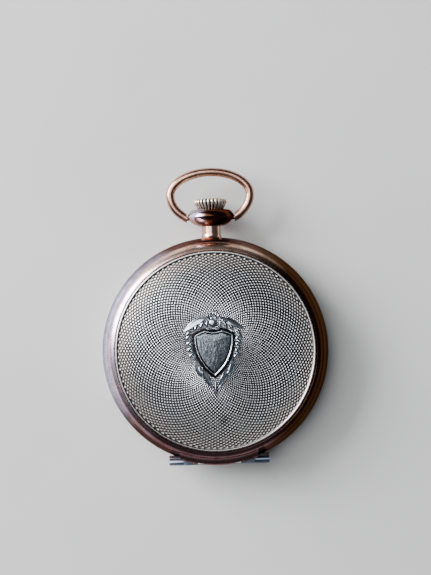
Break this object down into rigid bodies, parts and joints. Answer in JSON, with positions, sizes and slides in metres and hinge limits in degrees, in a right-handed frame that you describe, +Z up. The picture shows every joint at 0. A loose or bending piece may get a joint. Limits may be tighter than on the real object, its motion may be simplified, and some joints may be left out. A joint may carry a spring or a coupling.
{
  "type": "pocket watch",
  "caption": "Open-face pocket watch lying face down, with hinged back and cuvette, swinging bow, fluted crown and a jointed lever movement.",
  "frame": {"origin": "on the case's axis, in the flat outer face of the crystal, which the watch lies on", "axes": "+Z up through the back cover, +Y towards the pendant and bow, +X to the right seen from the back"},
  "size_m": [0.05, 0.0654, 0.0126],
  "materials": {
    "rose_gold": "worn rose gold, toned",
    "case_band": "worn rose gold",
    "silver_disc": "engine-turned silver, tarnished",
    "silver_relief": "polished silver",
    "cuvette_silver": "satin silver",
    "crystal_glass": "clear mineral glass",
    "steel": "polished steel",
    "blued_steel": "heat-blued steel",
    "plate_gilt": "gilt brass",
    "bridge_nickel": "striped nickel",
    "train_brass": "polished brass",
    "timing_gold": "turned gold screws",
    "ruby": "synthetic ruby",
    "enamel": "white fired enamel"
  },
  "bodies": {
    "root": {"case_middle": "case_band", "pendant": "rose_gold", "bezel": "rose_gold", "crystal": "crystal_glass", "hinge_pin": "steel", "case_screws": "blued_steel", "main_plate": "plate_gilt", "barrel_bridge": "bridge_nickel", "train_bridge": "bridge_nickel", "escape_cock": "bridge_nickel", "balance_cock": "bridge_nickel", "pallet_cock": "bridge_nickel", "plate_jewels": "ruby", "bridge_jewels": "ruby", "bridge_screws": "blued_steel", "crown_wheel_core": "steel", "click_spring": "steel", "hairspring": "blued_steel", "hairspring_stud": "steel", "dial": "enamel", "seconds_dial": "enamel"},
    "back_lid": {"back_cover": "silver_disc", "back_cover_rim": "rose_gold", "shield": "silver_relief", "garland": "silver_relief"},
    "inner_lid": {"cuvette": "cuvette_silver"},
    "bow_ring": {"bow": "rose_gold"},
    "stem_sleeve": {"winding_pinion": "steel"},
    "crown_and_stem": {"crown": "rose_gold", "winding_stem": "steel"},
    "clutch": {"sliding_clutch": "steel"},
    "setting_lever_body": {"setting_lever": "steel"},
    "yoke_body": {"yoke": "steel"},
    "crown_wheel_body": {"crown_wheel": "steel"},
    "ratchet": {"ratchet_wheel": "steel", "ratchet_screw": "blued_steel", "barrel_arbor": "steel"},
    "barrel": {"barrel_drum": "train_brass", "barrel_lid": "train_brass", "mainspring": "blued_steel"},
    "centre": {"centre_wheel": "train_brass"},
    "third": {"third_wheel": "train_brass"},
    "fourth": {"fourth_wheel": "train_brass", "seconds_hand": "blued_steel"},
    "escape": {"escape_wheel": "steel"},
    "pallets": {"pallet_fork": "steel", "pallet_stones": "ruby"},
    "balance": {"balance_wheel": "train_brass", "timing_screws": "timing_gold", "balance_staff": "steel", "roller": "steel", "impulse_jewel": "ruby"},
    "click_body": {"click": "steel"},
    "regulator_body": {"regulator": "steel"},
    "cannon": {"cannon_pinion": "steel", "minute_hand": "blued_steel"},
    "minute": {"minute_wheel": "train_brass"},
    "hour": {"hour_wheel": "train_brass", "hour_hand": "blued_steel"},
    "setting": {"setting_wheel": "steel"}
  },
  "joints": [
    {"name": "back_cover_open", "type": "hinge", "parent": "root", "child": "back_lid", "pos_m": [0, -0.02415, 0.0085], "axis": [1, 0, 0], "range_deg": [0, 90]},
    {"name": "cuvette_open", "type": "hinge", "parent": "root", "child": "inner_lid", "pos_m": [0, -0.02415, 0.0085], "axis": [1, 0, 0], "range_deg": [0, 77]},
    {"name": "bow_swing", "type": "hinge", "parent": "root", "child": "bow_ring", "pos_m": [0, 0.0293, 0.0065], "axis": [1, 0, 0], "range_deg": [-90, 90]},
    {"name": "crown_wind", "type": "hinge", "parent": "root", "child": "stem_sleeve", "pos_m": [0, 0.0158, 0.0065], "axis": [0, 1, 0], "continuous": true},
    {"name": "crown_pull", "type": "slide", "parent": "stem_sleeve", "child": "crown_and_stem", "axis": [0, 1, 0], "range_m": [0, 0.0009]},
    {"name": "clutch_slide", "type": "slide", "parent": "stem_sleeve", "child": "clutch", "axis": [0, 1, 0], "range_m": [-0.0009, 0]},
    {"name": "setting_lever_turn", "type": "hinge", "parent": "root", "child": "setting_lever_body", "pos_m": [0.0044, 0.0178, 0.0044], "axis": [0, 0, 1], "range_deg": [-11.9, 0]},
    {"name": "yoke_turn", "type": "hinge", "parent": "root", "child": "yoke_body", "pos_m": [-0.005, 0.01375, 0.0044], "axis": [0, 0, 1], "range_deg": [-10.4, 0]},
    {"name": "crown_wheel_turn", "type": "hinge", "parent": "root", "child": "crown_wheel_body", "pos_m": [0, 0.0126, 0.0094], "axis": [0, 0, 1], "continuous": true},
    {"name": "ratchet_turn", "type": "hinge", "parent": "root", "child": "ratchet", "pos_m": [0.00821, 0.00469, 0.0094], "axis": [0, 0, 1], "continuous": true},
    {"name": "click_lift", "type": "hinge", "parent": "root", "child": "click_body", "pos_m": [0.01285, 0.01343, 0.0094], "axis": [0, 0, 1], "range_deg": [0, 8], "stiffness_Nm_per_rad": 0.000001},
    {"name": "seconds_turn", "type": "hinge", "parent": "root", "child": "fourth", "pos_m": [0, -0.0106, 0.007], "axis": [0, 0, 1], "continuous": true},
    {"name": "barrel_turn", "type": "hinge", "parent": "root", "child": "barrel", "pos_m": [0.00821, 0.00469, 0.007], "axis": [0, 0, 1], "continuous": true},
    {"name": "centre_turn", "type": "hinge", "parent": "root", "child": "centre", "pos_m": [0, 0, 0.007], "axis": [0, 0, 1], "continuous": true},
    {"name": "third_turn", "type": "hinge", "parent": "root", "child": "third", "pos_m": [0.00208, -0.00576, 0.007], "axis": [0, 0, 1], "continuous": true},
    {"name": "escape_turn", "type": "hinge", "parent": "root", "child": "escape", "pos_m": [-0.005, -0.0106, 0.007], "axis": [0, 0, 1], "continuous": true},
    {"name": "pallet_rock", "type": "hinge", "parent": "root", "child": "pallets", "pos_m": [-0.00717, -0.0076, 0.007], "axis": [0, 0, 1], "range_deg": [-5, 5]},
    {"name": "balance_swing", "type": "hinge", "parent": "root", "child": "balance", "pos_m": [-0.0105, -0.003, 0.007], "axis": [0, 0, 1], "range_deg": [-270, 270], "stiffness_Nm_per_rad": 0.0000035},
    {"name": "regulator_turn", "type": "hinge", "parent": "root", "child": "regulator_body", "pos_m": [-0.0105, -0.003, 0.00975], "axis": [0, 0, 1], "range_deg": [-12, 12]},
    {"name": "minute_hand_turn", "type": "hinge", "parent": "root", "child": "cannon", "pos_m": [0, 0, 0.003], "axis": [0, 0, 1], "continuous": true},
    {"name": "minute_wheel_turn", "type": "hinge", "parent": "root", "child": "minute", "pos_m": [0, 0.0042, 0.0045], "axis": [0, 0, 1], "continuous": true},
    {"name": "hour_hand_turn", "type": "hinge", "parent": "root", "child": "hour", "pos_m": [0, 0, 0.003], "axis": [0, 0, 1], "continuous": true},
    {"name": "setting_wheel_turn", "type": "hinge", "parent": "root", "child": "setting", "pos_m": [0, 0.00962, 0.0046], "axis": [0, 0, 1], "continuous": true}
  ],
  "couplings": [
    {"joint": "cuvette_open", "follows": "back_cover_open", "ratio": 0.85},
    {"joint": "crown_wheel_turn", "follows": "crown_wind", "ratio": -0.58333},
    {"joint": "ratchet_turn", "follows": "crown_wind", "ratio": 0.26923},
    {"joint": "clutch_slide", "follows": "crown_pull", "ratio": -1},
    {"joint": "setting_lever_turn", "follows": "crown_pull", "rad_per_m": -227.27},
    {"joint": "yoke_turn", "follows": "crown_pull", "rad_per_m": -200},
    {"joint": "third_turn", "follows": "seconds_turn", "ratio": -0.13333},
    {"joint": "centre_turn", "follows": "seconds_turn", "ratio": 0.016667},
    {"joint": "barrel_turn", "follows": "seconds_turn", "ratio": -0.0025641},
    {"joint": "escape_turn", "follows": "seconds_turn", "ratio": -10},
    {"joint": "minute_wheel_turn", "follows": "minute_hand_turn", "ratio": -0.33333},
    {"joint": "hour_hand_turn", "follows": "minute_hand_turn", "ratio": 0.083333},
    {"joint": "setting_wheel_turn", "follows": "minute_hand_turn", "ratio": 0.46154}
  ]
}
